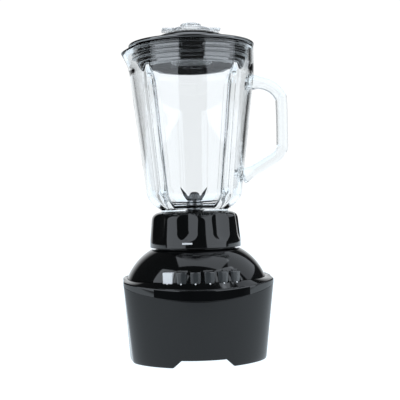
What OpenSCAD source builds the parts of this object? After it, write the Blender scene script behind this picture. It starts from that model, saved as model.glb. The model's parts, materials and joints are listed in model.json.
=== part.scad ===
// Countertop blender with a glass jar, six keys and a motor base.
// The origin is on the table, on the motor's axis. -Y is the front with the keys, +X the jar's handle.
// Angles called phi are measured from the front towards +X, in degrees.

/* [Base] */
// Height of the lower housing's rim above the table
rim_z = 90; // [88:0.5:91]
// Radius of the lower housing at its rim, at the front
rim_r = 84; // [83:0.5:85]
// Radius of the lower housing at its foot, at the front
foot_r = 76.4; // [76:0.2:77]
// Slope of the cut that lowers the rim towards the front
scoop_angle = 15.5; // [12:0.5:17]
// Wall thickness of the moulded shells
wall = 2.6; // [2.2:0.2:3]

/* [Keys] */
// Number of keys
key_count = 6; // [4:1:6]
// Angle between two keys
key_pitch = 11.2; // [11:0.1:12]
// Width of a key
key_w = 11; // [9:0.5:11.5]
// How far a key travels
key_travel = 4; // [2:0.5:4]

/* [Jar] */
// Height of the glass rim above the table
jar_top_z = 345; // [335:1:350]
// Outer radius of the jar's mouth
mouth_r = 69.5; // [68:0.5:71]
// Outer radius of the jar just above its rounded bottom
belly_r = 53; // [52:0.5:55]
// Glass thickness between the ribs
glass_t = 4.6; // [4:0.2:5]
// How far a rib stands into the jar
rib_depth = 5; // [3:0.5:6]
// Turn of the four ribs away from 45 degrees
rib_phase = -5; // [-10:1:10]
// Rise of the jar's thread in one turn
thread_pitch = 6; // [5.5:0.5:6]

/* [Collar] */
// Largest radius of the collar
collar_r = 50.7; // [50:0.1:51]
// Number of grip scallops
scallop_count = 8; // [6:1:8]
// Turn of the first scallop from the front
scallop_phase = -15; // [-20:1:20]

/* [Hidden] */
$fn = 96;
EXACT = 64; // any $fn above 12 gives a true curve

// Base levels
foot_z = 1;
cover_z = 10;
cover_t = 2.6;
dome_r = 76.7;
flange_r = 72;
dome_arc_r = 61;
dome_arc_x = 19.8;
dome_arc_z = rim_z - 21.9;
boss_r = 44.5;
boss_z = rim_z + 36;
shoulder_z = boss_z - 4.5;
mount_z = boss_z - 17;
seal_r = 13.8;
seat_h = 2.5;
slope = tan(scoop_angle);
scoop_y = -10;
crest_rise = 1.6;
crest_drop = 9.1;
notch_top_w = 47.8;
notch_low_w = 65.5;
notch_h = 9;
post_x = 45;
post_y = 42;
post_r = 5;
foot_pad_r = 8.6;
foot_plug_r = 7.3;
foot_h = 2.1;
head_z = 5.4;
head_r = 4;
head_h = 2.6;
post_top_z = cover_z + 20;
screw_r = 1.9;
mount_x = 28;
mount_y = 24;
bolt_r = 2;
bolt_hole_r = 2.2;
shaft_r = 4;
gland_z = 30;
gland_y = 78.4;
gland_r = 5.9;
gland_bore_r = 3.6;
gland_flange_r = 8.6;
gland_flange_t = 2.6;
gland_l = 14;

// Clearances
gap = 0.02; // press fits
run = 0.05; // running fits
room = 0.4; // keys in their pockets

// Keys
key_low_z = rim_z - 5;
key_top_z = rim_z + 10.4;
key_front_r = 77.2;
key_depth = 6.4;
pocket_z = key_low_z - key_travel - 5;
stem_r = 73;
stem_z = 66;
stem_w = 5;
stem_t = 4;
spring_h = key_travel + 5.2;

// Jar levels
collar_low_z = boss_z - 2.5;
collar_top_z = collar_low_z + 38.9;
floor_z = boss_z + 12;
blade_base_z = floor_z + 3.5;
base_t = 2.5;
blade_post_r = 10.4;
blade_stud_r = 12.5;
nut_h = 3.4;
neck_z = blade_base_z + 5;
neck_r = 37.2;
neck_in_r = 32.4;
thread_z = neck_z + 4.5;
coupling_z = boss_z + 2;
coupling_h = 7;
coupling_r = 12;
bushing_r = 7;
post_top = blade_base_z + 26;
blade_z = post_top + 3;
blade_t = 1.5;
blade_hub_r = 9;
upper_blade_z = blade_z + 2 * blade_t;
dome_nut_z = upper_blade_z + blade_t + 0.1;
dome_nut_h = 5.4;
lid_z = jar_top_z + 0.2;
lid_r = 70.5;
plug_r = 58;
plug_z = lid_z - 22.7;
feed_r = 24.6;
cap_seat_z = lid_z + 15;
cap_tab_r = 32.6;
cap_tab_w = 17;
cap_tab_h = 3;

KEYS = [for (k = [1:key_count]) str("key_", k)];
SPRINGS = [for (k = [1:key_count]) str("key_spring_", k)];

// ---- Shared geometry ----

function mix(a, b, t) = a + (b - a) * t;
function clamp01(t) = min(1, max(0, t));
function ease(t) = let (c = clamp01(t)) c * c * (3 - 2 * c);
function bell(d, w) = exp(-pow(d / w, 2));
function polar(r, phi, z) = [r * sin(phi), -r * cos(phi), z];
function wrap(a) = a > 180 ? a - 360 : (a < -180 ? a + 360 : a);

// A solid through a list of sections, each a loop of points, joined end to end or closed into a ring.
module loft(sections, ring = false) {
    n = len(sections);
    m = len(sections[0]);
    sides = [
        for (i = [0:ring ? n - 1 : n - 2])
            for (j = [0:m - 1])
                let (a = i * m + j, b = i * m + (j + 1) % m)
                let (c = ((i + 1) % n) * m + (j + 1) % m, d = ((i + 1) % n) * m + j)
                each [[a, b, c], [a, c, d]]
    ];
    first = [for (j = [1:m - 2]) [0, j + 1, j]];
    last = [for (j = [1:m - 2]) [(n - 1) * m, (n - 1) * m + j, (n - 1) * m + j + 1]];
    polyhedron(
        points = [for (s = sections) each s],
        faces = ring ? sides : concat(sides, first, last));
}

// A wire of round section along a helix that rises from z0 to z1.
module coil(mean_r, wire_r, z0, z1, turns, steps = 10, sides = 6) {
    loft([
        for (i = [0:turns * steps])
            let (a = 360 * i / steps, z = mix(z0, z1, i / (turns * steps)))
            [for (s = [0:sides - 1])
                let (b = 360 * s / sides, r = mean_r + wire_r * cos(b))
                [r * cos(a), r * sin(a), z + wire_r * sin(b)]]
    ]);
}

// A helical ridge between two radii. start and turns place it, and z is its middle at angle 0.
module thread_ridge(r_root, r_crest, z, start, turns, thick) {
    step = 10;
    count = round(turns * 360 / step);
    loft([
        for (i = [0:count])
            let (a = start + i * step, zz = z + thread_pitch * a / 360)
            let (grow = min(1, min(i, count - i) / 2 + 0.15))
            let (r = mix(r_root, r_crest, grow), h = (r_crest > r_root ? 1 : -1) * thick / 2)
            [[r_root * cos(a), r_root * sin(a), zz - h],
             [r * cos(a), r * sin(a), zz - h * 0.6],
             [r * cos(a), r * sin(a), zz + h * 0.6],
             [r_root * cos(a), r_root * sin(a), zz + h]]
    ]);
}

module tube(r_out, r_in, z0, z1) {
    translate([0, 0, z0])
        difference() {
            cylinder(r = r_out, h = z1 - z0, $fn = EXACT);
            translate([0, 0, -1])
                cylinder(r = r_in, h = z1 - z0 + 2, $fn = EXACT);
        }
}

module disc(r, z0, z1) {
    translate([0, 0, z0])
        cylinder(r = r, h = z1 - z0, $fn = EXACT);
}

module at_corners(x, y) {
    for (sx = [-1, 1])
        for (sy = [-1, 1])
            translate([sx * x, sy * y, 0])
                children();
}

module box(lo, hi) {
    translate(lo)
        cube(hi - lo);
}

// Turned to face outwards at an angle from the front: the child's -Y points away from the axis.
module facing(phi) {
    rotate([0, 0, phi])
        children();
}

function key_phi(k) = (k - (key_count + 1) / 2) * key_pitch;

// ---- Base: shells ----

// Plan of the lower housing: a round tapered body with two corners that flare towards the rim.
function corner(phi) = let (a = abs(wrap(phi))) bell(a - 65, a < 65 ? 22 : 9);
function plan_r(phi, z) =
    let (t = z / rim_z, f = cos(phi))
    mix(foot_r - 1.3, rim_r - 2.4, t)
    + mix(f > 0 ? 1.3 : 0.6, f > 0 ? 2.4 : 1.2, t) * f
    + mix(2.5, 6.5, t) * corner(phi);
// Height of the scooped rim at depth y, and at an angle.
function scoop_z(y) = min(rim_z, rim_z + 1 + (y - scoop_y) * slope);
function scoop_at(phi, inset) = scoop_z(-(plan_r(phi, rim_z - 8) - inset) * cos(phi));
// Share of the scoop at an angle: 1 at the front and 0 at the sides and back.
function scoop_share(phi) = clamp01((rim_z - scoop_at(phi, 0)) / 19.5);

PLAN_STEPS = 96;
PLAN = [for (i = [0:PLAN_STEPS - 1]) 360 * i / PLAN_STEPS];

module lower_housing() {
    color([0.13, 0.14, 0.15])
        difference() {
            union() {
                loft([
                    for (phi = PLAN)
                        let (zo = scoop_at(phi, 0), zi = scoop_at(phi, wall))
                        [polar(plan_r(phi, foot_z) - 1.2, phi, foot_z),
                         polar(plan_r(phi, foot_z + 3), phi, foot_z + 3),
                         polar(plan_r(phi, zo), phi, zo),
                         polar(plan_r(phi, zi) - wall, phi, zi),
                         polar(plan_r(phi, foot_z) - wall, phi, foot_z)]
                ], ring = true);
                housing_posts();
                gland_pad();
            }
            notch_cut();
            gland_cut();
            at_corners(post_x, post_y)
                disc(screw_r + 0.1, cover_z, post_top_z - 2);
        }
}

// Screw posts, each joined to the wall by a rib.
module housing_posts() {
    z = cover_z + cover_t;
    rib_half = 1.5;
    rib_in = norm([post_x, post_y]) + 2.4;
    at_corners(post_x, post_y)
        disc(post_r, z, post_top_z);
    for (phi = [47, 133, 227, 313])
        facing(phi)
            box([-rib_half, -(plan_r(phi, cover_z) - 0.6), z], [rib_half, -rib_in, post_top_z]);
}

module notch_cut() {
    translate([0, 100, 0])
        rotate([90, 0, 0])
            linear_extrude(200)
                polygon([[-notch_low_w / 2 - 1, -1], [notch_low_w / 2 + 1, -1],
                         [notch_top_w / 2, notch_h], [-notch_top_w / 2, notch_h]]);
}

module gland_pad() {
    translate([0, gland_y - 1.4, gland_z])
        rotate([90, 0, 0])
            cylinder(r = 12, h = 8, $fn = EXACT);
}

// The hole for the gland's neck and the recess for its flange.
module gland_cut() {
    out = 12;
    translate([0, gland_y + out, gland_z])
        rotate([90, 0, 0]) {
            cylinder(r = gland_r + 0.1, h = 30, $fn = EXACT);
            cylinder(r = gland_flange_r + 0.4, h = out + gland_flange_t + run, $fn = EXACT);
        }
}

// The ring that closes the gap between dome and rim and widens into the key shelf at the front.
module control_ring() {
    tongue_gap = 0.6;
    color([0.02, 0.02, 0.02])
        difference() {
            loft([
                for (phi = PLAN)
                    let (u = scoop_share(phi), zo = scoop_at(phi, 0), zi = scoop_at(phi, wall))
                    let (ro = plan_r(phi, zo), ri = plan_r(phi, zi) - wall, lean = (zi - zo) / (ro - ri))
                    let (rc = plan_r(phi, rim_z) - 0.6 - 1.1 * u, lap = 0.5 * u)
                    let (crest = rim_z + crest_rise - crest_drop * u, under_r = ri - tongue_gap)
                    [polar(ro + lap, phi, zo - lap * lean + run),
                     polar(rc + 0.4, phi, crest - 0.8),
                     polar(rc - 0.8, phi, crest),
                     polar(dome_r + 0.2, phi, rim_z - 0.2),
                     polar(dome_r + 0.2, phi, rim_z - run),
                     polar(flange_r, phi, rim_z - run),
                     polar(flange_r, phi, rim_z - 3),
                     polar(under_r, phi, zi - 1),
                     polar(under_r, phi, zi + tongue_gap * lean + run)]
            ], ring = true);
            key_pockets();
        }
}

module key_pockets() {
    for (k = [1:key_count])
        facing(key_phi(k))
            box([-key_w / 2 - room, -key_front_r - room, pocket_z],
                [key_w / 2 + room, -key_front_r + key_depth + room, key_top_z + 8]);
}

// The dome: a ring of arc section from the key shelf up to the jar's seat.
module upper_housing() {
    color([0.02, 0.02, 0.02])
        difference() {
            union() {
                rotate_extrude($fn = EXACT)
                    dome_profile();
                tube(boss_r, seal_r + 0.2, boss_z - wall, boss_z);
                tube(boss_r, boss_r - wall, boss_z - 5.5, boss_z - 0.5);
                at_corners(mount_x, mount_y)
                    disc(post_r, mount_z, boss_z - 1);
            }
            at_corners(mount_x, mount_y)
                disc(bolt_r + 0.1, mount_z - 1, boss_z - 6);
            key_pockets();
        }
}

module dome_profile() {
    difference() {
        intersection() {
            translate([dome_arc_x, dome_arc_z])
                circle(r = dome_arc_r, $fn = EXACT);
            translate([boss_r - wall, rim_z])
                square([dome_r - boss_r + wall + 1, shoulder_z - rim_z]);
        }
        translate([dome_arc_x, dome_arc_z])
            circle(r = dome_arc_r - wall, $fn = EXACT);
    }
}

module bottom_cover() {
    color([0.05, 0.05, 0.055])
        difference() {
            union() {
                translate([0, 0, cover_z])
                    linear_extrude(cover_t)
                        polygon([for (phi = PLAN) let (r = plan_r(phi, cover_z) - wall - 0.5)
                                 [r * sin(phi), -r * cos(phi)]]);
                at_corners(post_x, post_y)
                    disc(foot_pad_r + 0.6, foot_h + 0.1, cover_z + 1);
            }
            at_corners(post_x, post_y) {
                disc(foot_plug_r + 0.2, foot_z, head_z - 0.4);
                disc(head_r + 0.6, head_z - 1.4, head_z + head_h);
                disc(screw_r + 0.3, head_z, post_top_z);
            }
            slots();
        }
}

// Two rows of air slots under the motor, shorter towards the sides.
module slots() {
    slot_w = 2.6;
    for (x = [-30:6:30])
        for (side = [-1, 1])
            translate([x, side * 36, cover_z - 1])
                linear_extrude(cover_t + 2)
                    square([slot_w, 26 - abs(x) * 0.3], center = true);
}

module rubber_feet() {
    color([0.06, 0.06, 0.06])
        at_corners(post_x, post_y) {
            disc(foot_pad_r, 0, foot_h);
            disc(foot_plug_r, foot_z, head_z - 0.8);
        }
}

module cover_screws() {
    cross_l = 2.6;
    cross_w = 0.4;
    cross_z = head_z + 1;
    color([0.6, 0.6, 0.62])
        at_corners(post_x, post_y)
            difference() {
                union() {
                    disc(head_r, head_z, head_z + head_h);
                    disc(screw_r, head_z + 1, post_top_z - 4);
                }
                box([-cross_l, -cross_w, head_z - 1], [cross_l, cross_w, cross_z]);
                box([-cross_w, -cross_l, head_z - 1], [cross_w, cross_l, cross_z]);
            }
}

module cord_gland() {
    color([0.05, 0.05, 0.05])
        translate([0, gland_y, gland_z])
            rotate([90, 0, 0])
                difference() {
                    union() {
                        cylinder(r = gland_flange_r, h = gland_flange_t, $fn = EXACT);
                        cylinder(r = gland_r, h = gland_l, $fn = EXACT);
                    }
                    translate([0, 0, -1])
                        cylinder(r = gland_bore_r, h = gland_l + 2, $fn = EXACT);
                }
}

module seat_ring() {
    color([0.06, 0.06, 0.06])
        tube(42, 36, boss_z, boss_z + seat_h);
}

module shaft_seal() {
    color([0.06, 0.06, 0.06]) {
        difference() {
            union() {
                disc(seal_r, boss_z - wall - 1, boss_z + 1);
                disc(seal_r + 2.2, boss_z, boss_z + 1.4);
            }
            disc(shaft_r + 0.3, boss_z - 5, boss_z + 3);
        }
    }
}

// ---- Base: keys and switch ----

module key(k) {
    pale = k == 1;
    color(pale ? [0.85, 0.85, 0.87] : [0.35, 0.37, 0.38])
        facing(key_phi(k)) {
            difference() {
                box([-key_w / 2, -key_front_r, key_low_z], [key_w / 2, -key_front_r + key_depth, key_top_z]);
                if (!pale)
                    key_flutes();
            }
            box([-stem_w / 2, -stem_r - stem_t / 2, stem_z],
                [stem_w / 2, -stem_r + stem_t / 2, key_low_z + 1]);
        }
}

// Two shallow hollows down the front of a silver key.
module key_flutes() {
    flute_r = 5.8;
    depth = 0.6;
    for (x = [-key_w / 4, key_w / 4])
        translate([x, -key_front_r - flute_r + depth, rim_z + 1.5])
            cylinder(r = flute_r, h = 20, $fn = EXACT);
}

module key_spring(k) {
    wire_r = 0.3;
    top = stem_z - wire_r - 0.1;
    color([0.6, 0.6, 0.62])
        facing(key_phi(k))
            translate([0, -stem_r, 0])
                coil(1.5, wire_r, top - spring_h, top, 4);
}

module switch_block() {
    arc = key_pitch * (key_count - 1) + 16;
    floor = stem_z - 0.8 - spring_h;
    color([0.82, 0.8, 0.74])
        difference() {
            rotate([0, 0, -90 - arc / 2])
                rotate_extrude(angle = arc, $fn = EXACT)
                    translate([stem_r - 7, floor - 2.2])
                        square([10.6, spring_h + 9]);
            for (k = [1:key_count])
                facing(key_phi(k))
                    box([-stem_w / 2 - room, -stem_r - stem_t / 2 - room, floor],
                        [stem_w / 2 + room, -stem_r + stem_t / 2 + room, stem_z + 12]);
        }
}

// An upright board with a relay and a capacitor on it.
module power_board() {
    y = 44;
    board_t = 1.6;
    color([0.1, 0.35, 0.2])
        box([-26, y, cover_z + cover_t], [26, y + board_t, cover_z + 36]);
    color([0.1, 0.1, 0.4]) {
        box([-20, y + board_t + 0.1, cover_z + 10], [-4, y + 10, cover_z + 24]);
        translate([12, y + 6, cover_z + 8])
            cylinder(r = 4.2, h = 16, $fn = EXACT);
    }
}

// ---- Base: motor ----

STATOR_X = 34;
STATOR_Y = 30;
ROTOR_R = 18;
COIL_X = 18.5;
COMMUTATOR_R = 9.5;
BEARING_R = 11;
BEARING_H = 7;
BRACKET_T = 3;
stator_z0 = rim_z - 38;
stator_z1 = stator_z0 + 25;
bracket_z = boss_z - 26;
low_bracket_z = 24;

module bracket_plate(z0, z1) {
    difference() {
        box([-STATOR_X, -STATOR_Y, z0], [STATOR_X, STATOR_Y, z1]);
        disc(BEARING_R + run, z0 - 1, z1 + 1);
        at_corners(mount_x, mount_y)
            disc(bolt_hole_r, z0 - 1, z1 + 1);
        for (side = [-1, 1]) {
            box([side * 26 - 6, -14, z0 - 1], [side * 26 + 6, 14, z1 + 1]);
            box([-14, side * 24 - 4, z0 - 1], [14, side * 24 + 4, z1 + 1]);
        }
    }
}

module motor_upper_bracket() {
    color([0.7, 0.7, 0.72]) {
        bracket_plate(bracket_z, bracket_z + BRACKET_T);
        tube(BEARING_R + 3, BEARING_R + run, bracket_z + BRACKET_T, bracket_z + BEARING_H);
    }
}

module motor_lower_bracket() {
    color([0.7, 0.7, 0.72]) {
        bracket_plate(low_bracket_z, low_bracket_z + BRACKET_T);
        tube(BEARING_R + 3, BEARING_R + run, low_bracket_z + BRACKET_T - BEARING_H, low_bracket_z);
    }
}

module bearing(z) {
    color([0.75, 0.75, 0.78])
        difference() {
            tube(BEARING_R, shaft_r + run, z, z + BEARING_H);
            tube(9.2, 6.4, z - 1, z + 1);
            tube(9.2, 6.4, z + BEARING_H - 1, z + BEARING_H + 1);
        }
}

module stator_core() {
    color([0.45, 0.46, 0.48])
        translate([0, 0, stator_z0])
            linear_extrude(stator_z1 - stator_z0)
                difference() {
                    square([2 * STATOR_X, 2 * STATOR_Y], center = true);
                    circle(r = ROTOR_R + 0.5, $fn = EXACT);
                    for (side = [-1, 1])
                        for (end = [-1, 1])
                            translate([side * COIL_X, end * 18])
                                square([11, 12], center = true);
                    at_corners(mount_x, mount_y)
                        circle(r = bolt_hole_r, $fn = EXACT);
                }
}

module field_coils() {
    color([0.72, 0.35, 0.15])
        for (side = [-1, 1])
            difference() {
                box([side * COIL_X - 5, -23.5, stator_z0 - 7], [side * COIL_X + 5, 23.5, stator_z1 + 7]);
                box([side * COIL_X - 6, -12.5, stator_z0 - 0.5], [side * COIL_X + 6, 12.5, stator_z1 + 0.5]);
                disc(ROTOR_R + 1.5, stator_z0 - 8, stator_z1 + 8);
            }
}

module brush_holders() {
    color([0.35, 0.25, 0.15])
        for (end = [-1, 1])
            difference() {
                box([-6, end * 21 - 9, low_bracket_z + 3], [6, end * 21 + 9, low_bracket_z + 19]);
                box([-3.6, end * 20 - 9.9, low_bracket_z + 11], [3.6, end * 20 + 9.9, low_bracket_z + 17]);
            }
}

module carbon_brushes() {
    color([0.12, 0.12, 0.12])
        for (end = [-1, 1])
            difference() {
                box([-3.4, end * 16 - 7, low_bracket_z + 11.2], [3.4, end * 16 + 7, low_bracket_z + 16.8]);
                disc(COMMUTATOR_R + 0.2, low_bracket_z + 10, low_bracket_z + 18);
            }
}

module brush_springs() {
    color([0.7, 0.7, 0.72])
        for (end = [-1, 1])
            translate([0, end * 23.4, low_bracket_z + 14])
                rotate([end * -90, 0, 0])
                    coil(1.8, 0.3, 0, 6, 4);
}

module motor_bolts() {
    color([0.65, 0.65, 0.67])
        at_corners(mount_x, mount_y) {
            disc(3.6, low_bracket_z - 3, low_bracket_z - run);
            disc(bolt_r, low_bracket_z - 1, boss_z - 8);
        }
}

module motor_spacers() {
    color([0.65, 0.65, 0.67])
        at_corners(mount_x, mount_y) {
            tube(3.4, bolt_hole_r, low_bracket_z + BRACKET_T, stator_z0);
            tube(3.4, bolt_hole_r, stator_z1, bracket_z);
        }
}

module motor_mounts() {
    color([0.08, 0.08, 0.08])
        at_corners(mount_x, mount_y)
            tube(6, bolt_hole_r, bracket_z + BRACKET_T, mount_z);
}

module motor_shaft() {
    color([0.75, 0.75, 0.78])
        disc(shaft_r, low_bracket_z - 6, coupling_z + 6);
}

module rotor_core() {
    color([0.4, 0.41, 0.43])
        translate([0, 0, stator_z0])
            linear_extrude(stator_z1 - stator_z0)
                difference() {
                    circle(r = ROTOR_R, $fn = EXACT);
                    circle(r = shaft_r + gap, $fn = EXACT);
                    for (a = [0:30:330])
                        rotate(a)
                            translate([ROTOR_R - 3, 0])
                                square([8, 2.2], center = true);
                }
}

module rotor_windings() {
    color([0.75, 0.38, 0.16]) {
        tube(15.5, shaft_r + gap, stator_z1 + 0.1, stator_z1 + 7);
        tube(15.5, shaft_r + gap, stator_z0 - 6, stator_z0 - 0.1);
    }
}

module commutator() {
    color([0.8, 0.5, 0.25])
        difference() {
            tube(COMMUTATOR_R, shaft_r + gap, low_bracket_z + 8, low_bracket_z + 20);
            for (a = [0:30:330])
                rotate(a)
                    box([COMMUTATOR_R - 0.9, -0.3, low_bracket_z + 7],
                        [COMMUTATOR_R + 1, 0.3, low_bracket_z + 21]);
        }
}

module cooling_fan() {
    low = bracket_z - 12;
    plate = bracket_z - 6;
    hub_r = 8;
    color([0.15, 0.15, 0.16]) {
        tube(27, shaft_r + gap, plate, plate + 1.6);
        tube(hub_r, shaft_r + gap, low, plate + 1);
        for (a = [0:40:320])
            rotate(a)
                box([hub_r - 1.5, -0.6, low], [26.5, 0.6, plate + 1]);
    }
}

// A six-lobed star, shared by both halves of the drive coupling.
module star(r) {
    polygon([for (i = [0:11]) let (q = i % 2 == 0 ? r : r * 0.76) [q * cos(i * 30), q * sin(i * 30)]]);
}

module drive_coupling() {
    color([0.1, 0.1, 0.1])
        translate([0, 0, coupling_z])
            difference() {
                linear_extrude(coupling_h)
                    star(coupling_r);
                translate([0, 0, -1])
                    cylinder(r = shaft_r + gap, h = coupling_h, $fn = EXACT);
            }
}

// ---- Jar: collar and blade unit ----

// Each scallop is cut by a round bar with a ball end, whose axis is SCALLOP_X from the collar's.
SCALLOP_R = 24;
SCALLOP_X = 69.1;
scallop_bottom_z = collar_low_z + 7;
scallop_z = scallop_bottom_z + sqrt(pow(SCALLOP_R, 2) - pow(SCALLOP_X - collar_r, 2));

module scallop_cutter() {
    translate([0, 0, scallop_z])
        rotate_extrude($fn = EXACT)
            intersection() {
                union() {
                    circle(r = SCALLOP_R, $fn = EXACT);
                    translate([-SCALLOP_R, 0])
                        square([2 * SCALLOP_R, 60]);
                }
                translate([0, -SCALLOP_R - 1])
                    square([SCALLOP_R + 1, SCALLOP_R + 50]);
            }
}

module jar_collar() {
    thread_in = neck_r + 2.6;
    color([0.02, 0.02, 0.02])
        union() {
            difference() {
                rotate_extrude($fn = 96)
                    polygon([
                        [collar_r - 0.6, collar_low_z], [collar_r, collar_low_z + 1.2],
                        [collar_r - 0.1, collar_low_z + 7], [48.2, collar_top_z - 6.7],
                        [46.6, collar_top_z - 3.4], [43.4, collar_top_z - 0.9], [40.4, collar_top_z],
                        [thread_in - 0.4, collar_top_z - 0.6], [thread_in, collar_top_z - 2.5],
                        [thread_in, floor_z + 3.5], [26, floor_z + 3.5], [26, floor_z],
                        [36.2, floor_z], [36.2, boss_z + seat_h], [41.8, boss_z + seat_h],
                        [41.8, floor_z], [46, floor_z], [46, collar_low_z]]);
                for (k = [0:scallop_count - 1])
                    facing(scallop_phase + k * 360 / scallop_count)
                        translate([0, -SCALLOP_X, 0])
                            scallop_cutter();
            }
            thread_ridge(thread_in + 0.6, neck_r + 0.8, thread_z + thread_pitch / 2, -20, 1.1, 1.8);
        }
}

module blade_base() {
    color([0.75, 0.76, 0.78])
        difference() {
            union() {
                disc(neck_r + 2, blade_base_z, blade_base_z + base_t);
                disc(blade_post_r, blade_base_z, post_top);
                disc(blade_stud_r, blade_base_z - nut_h, blade_base_z + 6);
            }
            disc(bushing_r + gap, blade_base_z - 5, post_top + 4);
        }
}

module blade_base_nut() {
    color([0.75, 0.76, 0.78])
        translate([0, 0, blade_base_z - nut_h + 0.1])
            difference() {
                cylinder(r = 20, h = nut_h - 0.2, $fn = 6);
                translate([0, 0, -1])
                    cylinder(r = blade_stud_r + 0.1, h = nut_h + 2, $fn = EXACT);
            }
}

module blade_bushings() {
    color([0.7, 0.55, 0.3]) {
        tube(bushing_r, shaft_r + run, blade_base_z - 1, blade_base_z + 8);
        tube(bushing_r, shaft_r + run, blade_base_z + 16, post_top - 1);
    }
}

module blade_seal() {
    color([0.06, 0.06, 0.06])
        tube(bushing_r - 0.1, shaft_r + 0.1, blade_base_z + 9, blade_base_z + 14);
}

module jar_gasket() {
    color([0.75, 0.76, 0.78])
        tube(neck_r - 0.1, neck_in_r, blade_base_z + base_t, neck_z);
}

module blade_shaft() {
    color([0.75, 0.76, 0.78])
        disc(shaft_r, coupling_z + coupling_h + 0.8, dome_nut_z + 8);
}

// One blade arm: bent up from the hub by an angle, with a ground point.
module blade_arm(length, rise) {
    half_w = 3;
    rotate([0, -rise, 0])
        linear_extrude(blade_t)
            polygon([[0, -half_w], [length * 0.45, -half_w - 0.2], [length, 0.8],
                     [length * 0.45, half_w - 0.2], [0, half_w]]);
}

module blade_pair(z, azimuth, length, rise) {
    root = blade_hub_r - 1;
    difference() {
        union() {
            disc(blade_hub_r, z, z + blade_t);
            for (side = [0, 180])
                rotate([0, 0, azimuth + side])
                    translate([root, 0, z])
                        blade_arm(length, rise);
        }
        disc(shaft_r + gap, z - 4, z + 4);
        disc(blade_hub_r + 0.5, z - 8, z);
    }
}

module lower_blades() {
    color([0.78, 0.79, 0.8])
        blade_pair(blade_z, 6.5, 21, 3);
}

module upper_blades() {
    color([0.78, 0.79, 0.8])
        blade_pair(upper_blade_z, 46, 24, 46);
}

module blade_washers() {
    color([0.75, 0.76, 0.78]) {
        tube(blade_hub_r, shaft_r + gap, post_top + 0.2, blade_z - run);
        tube(blade_hub_r - 1.5, shaft_r + gap, blade_z + blade_t + run, upper_blade_z - run);
    }
}

module blade_nut() {
    crown_z = dome_nut_h - 0.4;
    color([0.75, 0.76, 0.78])
        translate([0, 0, dome_nut_z])
            difference() {
                union() {
                    cylinder(r = 7.2, h = dome_nut_h, $fn = 6);
                    translate([0, 0, crown_z])
                        cylinder(r = 5.6, h = 4, $fn = EXACT);
                }
                translate([0, 0, -1])
                    cylinder(r = shaft_r + gap, h = 9, $fn = EXACT);
            }
}

// A cup under the collar whose star-shaped socket takes the drive coupling.
module driven_coupling() {
    top = coupling_z + coupling_h + 2.9;
    color([0.1, 0.1, 0.1])
        difference() {
            disc(18, coupling_z + 1, top);
            translate([0, 0, coupling_z - 1])
                linear_extrude(coupling_h + 1.4)
                    star(coupling_r + 0.8);
            disc(shaft_r + gap, coupling_z, top + 1);
        }
}

// ---- Jar: glass ----

bend_z = jar_top_z - 30;
belly_z = collar_top_z + 21;
low_z = collar_top_z + 2.2;

// Outer radius of the plain jar at a height.
function jar_out(z) =
    z > bend_z ? mouth_r
    : z > belly_z ? mix(belly_r, mouth_r, (z - belly_z) / (bend_z - belly_z))
    : z > low_z ? neck_r + (belly_r - neck_r) * (1 - pow((belly_z - z) / (belly_z - low_z), 1.8))
    : neck_r;
// Spout at -X, and ribs that run down the inside.
function spout(phi, z) = 9.5 * bell(wrap(phi + 90), 17) * pow(clamp01((z - (jar_top_z - 30)) / 30), 1.6);
function lip_drop(phi) = 5 * bell(wrap(phi + 90), 17);
function rib_gap(phi) = let (a = (phi + 360 - rib_phase) % 90) abs(a - 45);
function rib(phi, z) =
    rib_depth * bell(rib_gap(phi), 7.5)
    * ease((jar_top_z - 22 - z) / 16) * ease((z - (collar_top_z + 4)) / 14);
function jar_in(phi, z) =
    jar_out(z) - glass_t - 0.7 * clamp01((z - bend_z) / 10) + spout(phi, z) - rib(phi, z);

JAR_OUT_Z = [neck_z, low_z - 1, low_z + 1, low_z + 4, low_z + 8, low_z + 13, belly_z, bend_z - 65, bend_z,
             jar_top_z - 20, jar_top_z - 10, jar_top_z - 4];
JAR_IN_Z = [jar_top_z - 10, jar_top_z - 20, jar_top_z - 30, jar_top_z - 38, bend_z - 65, belly_z,
            low_z + 11];
JAR_STEPS = 72;

module jar_body() {
    loft([
        for (i = [0:JAR_STEPS - 1])
            let (phi = 360 * i / JAR_STEPS, drop = lip_drop(phi))
            concat(
                [for (z = JAR_OUT_Z)
                    let (s = z > bend_z ? drop * (z - bend_z) / (jar_top_z - bend_z) : 0)
                    polar(jar_out(z) + spout(phi, z), phi, z - s)],
                [polar(mouth_r + spout(phi, jar_top_z) - 0.8, phi, jar_top_z - drop),
                 polar(mouth_r + spout(phi, jar_top_z) - glass_t, phi, jar_top_z - drop - 0.6)],
                [for (z = JAR_IN_Z)
                    let (s = z > bend_z ? drop * (z - bend_z) / (jar_top_z - bend_z) : 0)
                    polar(jar_in(phi, z), phi, z - s)],
                [polar(neck_in_r, phi, low_z + 3), polar(neck_in_r, phi, neck_z)])
    ], ring = true);
}

HANDLE = [[66, 306], [76, 305.4], [85, 303], [93, 298], [98.5, 291], [100.7, 283], [100.7, 237],
          [98.8, 229.5], [94, 223], [84, 216.6], [70, 208.5], [55, 201]];

module handle_station(i) {
    d = HANDLE[min(i + 1, len(HANDLE) - 1)] - HANDLE[max(i - 1, 0)];
    lean = atan2(d[1], d[0]);
    flare = i < 1 || i > len(HANDLE) - 3 ? 3.5 : 0;
    translate([HANDLE[i][0], 0, HANDLE[i][1] - 306 + jar_top_z - 39])
        rotate([0, -lean, 0])
            for (side = [-1, 1])
                translate([0, side * 5.2, 0])
                    scale([1, 1, 1 + flare / 12.4])
                        rotate([0, 90, 0])
                            cylinder(d = 12.4, h = 0.2, $fn = 16, center = true);
}

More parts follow.
